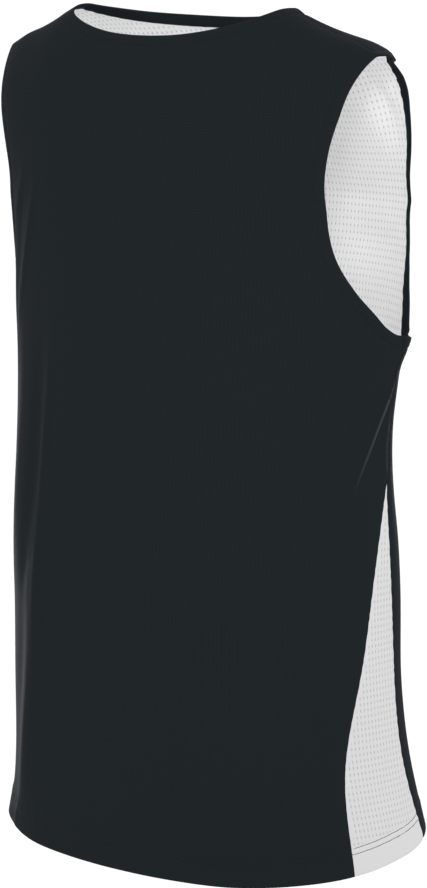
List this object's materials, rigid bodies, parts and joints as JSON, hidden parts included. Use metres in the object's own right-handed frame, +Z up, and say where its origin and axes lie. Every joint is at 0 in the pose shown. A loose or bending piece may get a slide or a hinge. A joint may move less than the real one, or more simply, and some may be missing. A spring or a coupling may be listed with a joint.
{
  "type": "sleeveless basketball jersey",
  "caption": "Reversible sleeveless basketball jersey in its hollow worn form: black knit outside, white mesh lining and long side inserts, with doubled bands at the neck and armholes.",
  "frame": {"origin": "midway between the two points where the shoulder seams meet the neck seam, which is where the wearer's shoulders carry it", "axes": "+Z up, the wearer faces -Y, and the wearer's right side is at -X"},
  "size_m": [0.4436, 0.2734, 0.7814],
  "materials": {
    "black_knit": "matt polyester knit with a very fine level rib",
    "white_insert_mesh": "white polyester pinhole mesh",
    "white_lining_mesh": "white polyester pinhole mesh",
    "black_band": "matt doubled knit strip"
  },
  "bodies": {
    "root": {"back_panel": "black_knit", "front_panel": "black_knit", "side_insert_right": "white_insert_mesh", "side_insert_left": "white_insert_mesh", "back_lining": "white_lining_mesh", "front_lining": "white_lining_mesh", "neck_band": "black_band", "armhole_band_right": "black_band", "armhole_band_left": "black_band"}
  },
  "joints": []
}
